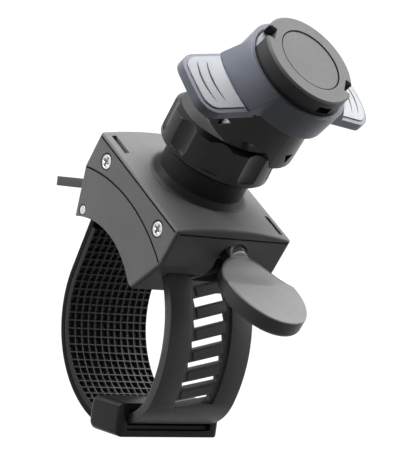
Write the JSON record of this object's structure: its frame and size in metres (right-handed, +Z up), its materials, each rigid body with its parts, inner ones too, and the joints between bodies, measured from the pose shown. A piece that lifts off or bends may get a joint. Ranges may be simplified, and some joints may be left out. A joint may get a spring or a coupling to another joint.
{
  "type": "bike phone mount",
  "caption": "Handlebar phone mount with a worm-driven slotted strap clamp, a collar-locked ball joint and a round lock head with a winged twist-release ring.",
  "frame": {"origin": "centre of the bar seat's arc, on the handlebar's axis, at the middle of the clamp's width", "axes": "+Y along the handlebar, +Z up through the clamp body and the neck, +X towards the thumb key"},
  "size_m": [0.0903, 0.065, 0.1197],
  "materials": {
    "body_plastic": "fine-grained moulded plastic",
    "screw_steel": "bright steel",
    "strap_rubber": "soft matte rubber",
    "liner_rubber": "waffle rubber",
    "buckle_plastic": "satin moulded plastic",
    "worm_steel": "turned steel",
    "bush_brass": "turned brass",
    "key_plastic": "fine satin plastic",
    "cup_plastic": "smooth plastic",
    "collar_plastic": "satin black plastic",
    "ball_steel": "turned aluminium",
    "spring_steel": "spring wire",
    "ring_plastic": "slate satin plastic",
    "pad_plastic": "light grey plastic",
    "disc_plastic": "fine-grained plastic",
    "magnet_metal": "plated magnet"
  },
  "bodies": {
    "base": {"saddle": "body_plastic", "gear_housing": "body_plastic", "top_cover": "body_plastic", "housing_screws": "screw_steel", "hinge_pin": "screw_steel", "grip_band": "strap_rubber", "grip_liner": "liner_rubber", "strap_buckle": "buckle_plastic", "slotted_strap": "strap_rubber", "worm_bush": "bush_brass", "pressure_ring": "cup_plastic"},
    "worm": {"worm_screw": "worm_steel", "thumb_key": "key_plastic"},
    "collar": {"clamp_collar": "collar_plastic"},
    "pan": {"ball_seat": "cup_plastic"},
    "ball": {"ball_stud": "ball_steel"},
    "head": {"head_base": "collar_plastic", "head_screw": "screw_steel", "return_spring": "spring_steel", "lock_disc": "disc_plastic", "centre_plate": "disc_plastic", "magnet": "magnet_metal"},
    "release": {"release_ring": "ring_plastic", "wing_pad_front": "pad_plastic", "wing_pad_rear": "pad_plastic"},
    "pawl_a": {"lock_pawl_a": "pad_plastic"},
    "pawl_b": {"lock_pawl_b": "pad_plastic"}
  },
  "joints": [
    {"name": "worm_turn", "type": "hinge", "parent": "base", "child": "worm", "pos_m": [0, 0.0024, 0.0393], "axis": [1, 0, 0], "continuous": true, "deforming": ["slotted_strap"]},
    {"name": "collar_turn", "type": "hinge", "parent": "base", "child": "collar", "pos_m": [0, 0, 0.0572], "axis": [0, 0, 1], "range_deg": [-180, 90]},
    {"name": "ball_pan", "type": "hinge", "parent": "base", "child": "pan", "pos_m": [0, 0, 0.0572], "axis": [0, 0, 1], "continuous": true},
    {"name": "ball_tilt", "type": "hinge", "parent": "pan", "child": "ball", "pos_m": [0, 0, 0.0572], "axis": [-0.1994, 0.9799, 0], "range_deg": [-38.5, 1.5]},
    {"name": "head_spin", "type": "hinge", "parent": "ball", "child": "head", "pos_m": [0, 0, 0.0572], "axis": [0.3109, 0.0633, 0.9483], "continuous": true},
    {"name": "release_twist", "type": "hinge", "parent": "head", "child": "release", "pos_m": [0, 0, 0.0572], "axis": [0.3109, 0.0633, 0.9483], "range_deg": [0, 25], "stiffness_Nm_per_rad": 0.25, "springref_deg": -8.59},
    {"name": "pawl_a_slide", "type": "slide", "parent": "head", "child": "pawl_a", "axis": [-0.5091, -0.8315, 0.2224], "range_m": [0, 0.0012]},
    {"name": "pawl_b_slide", "type": "slide", "parent": "head", "child": "pawl_b", "axis": [0.5091, 0.8315, -0.2224], "range_m": [0, 0.0012]}
  ],
  "couplings": [
    {"joint": "pawl_a_slide", "follows": "release_twist", "m_per_rad": 0.0027502},
    {"joint": "pawl_b_slide", "follows": "release_twist", "m_per_rad": 0.0027502}
  ]
}
